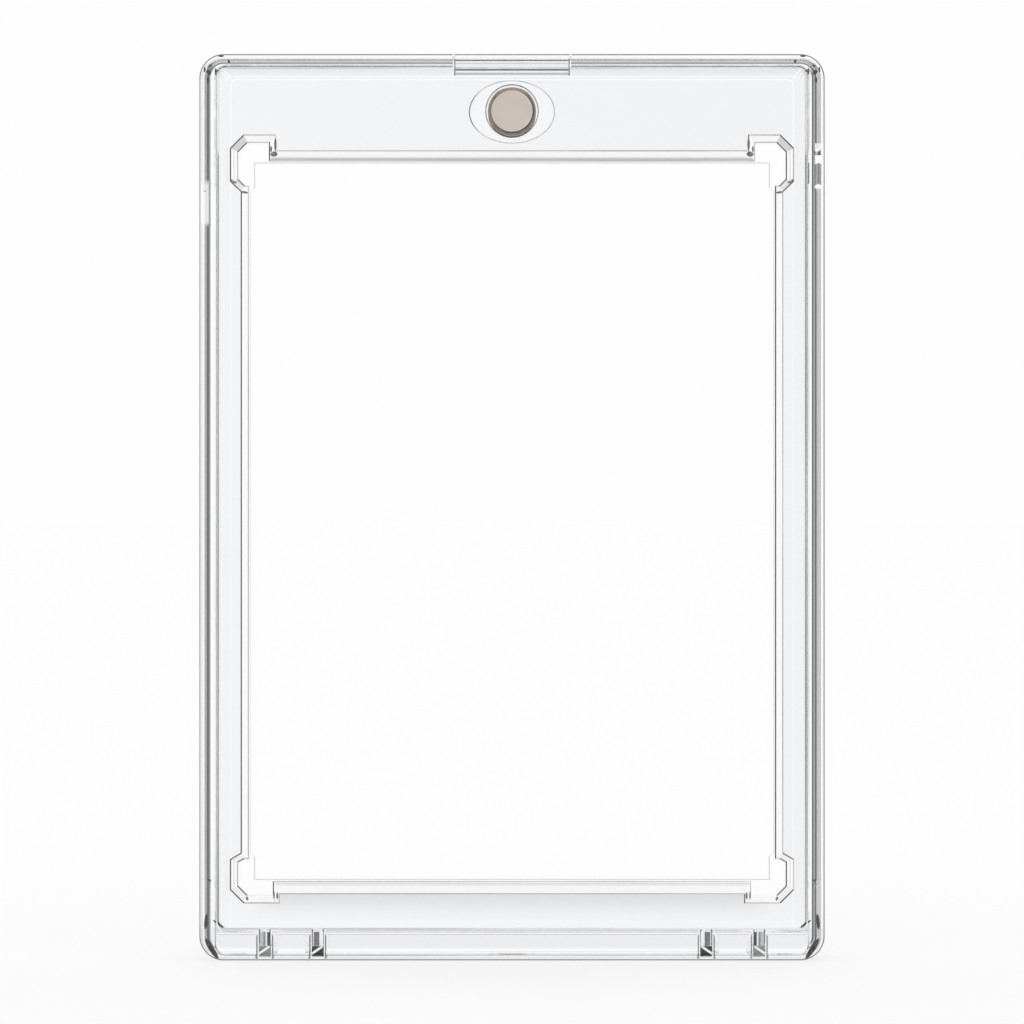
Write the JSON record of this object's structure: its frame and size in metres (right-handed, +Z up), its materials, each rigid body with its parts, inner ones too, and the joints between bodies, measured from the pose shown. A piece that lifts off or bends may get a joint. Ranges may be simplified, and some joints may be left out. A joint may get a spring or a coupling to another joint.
{
  "type": "trading card display case",
  "caption": "Clear rigid card case with a hinged front cover, a thumb tab, a magnetic closure, diamond corner reliefs and a hinge rail along its base.",
  "frame": {"origin": "middle of the bottom edge's flat face, halfway through the closed case's thickness", "axes": "+X to the right as seen from the front, +Y from the cover to the back of the shell, +Z up the case towards the thumb tab"},
  "size_m": [0.078, 0.008, 0.113],
  "materials": {
    "clear_plastic": "polished",
    "magnet_metal": "satin"
  },
  "bodies": {
    "shell": {"rear_shell": "clear_plastic", "rear_magnet": "magnet_metal", "rear_magnet_cap": "clear_plastic"},
    "cover": {"front_cover": "clear_plastic", "front_magnet": "magnet_metal", "front_magnet_cap": "clear_plastic"}
  },
  "joints": [
    {"name": "cover_hinge", "type": "hinge", "parent": "shell", "child": "cover", "pos_m": [0, -0.0026, 0.0015], "axis": [1, 0, 0], "range_deg": [0, 90]}
  ]
}
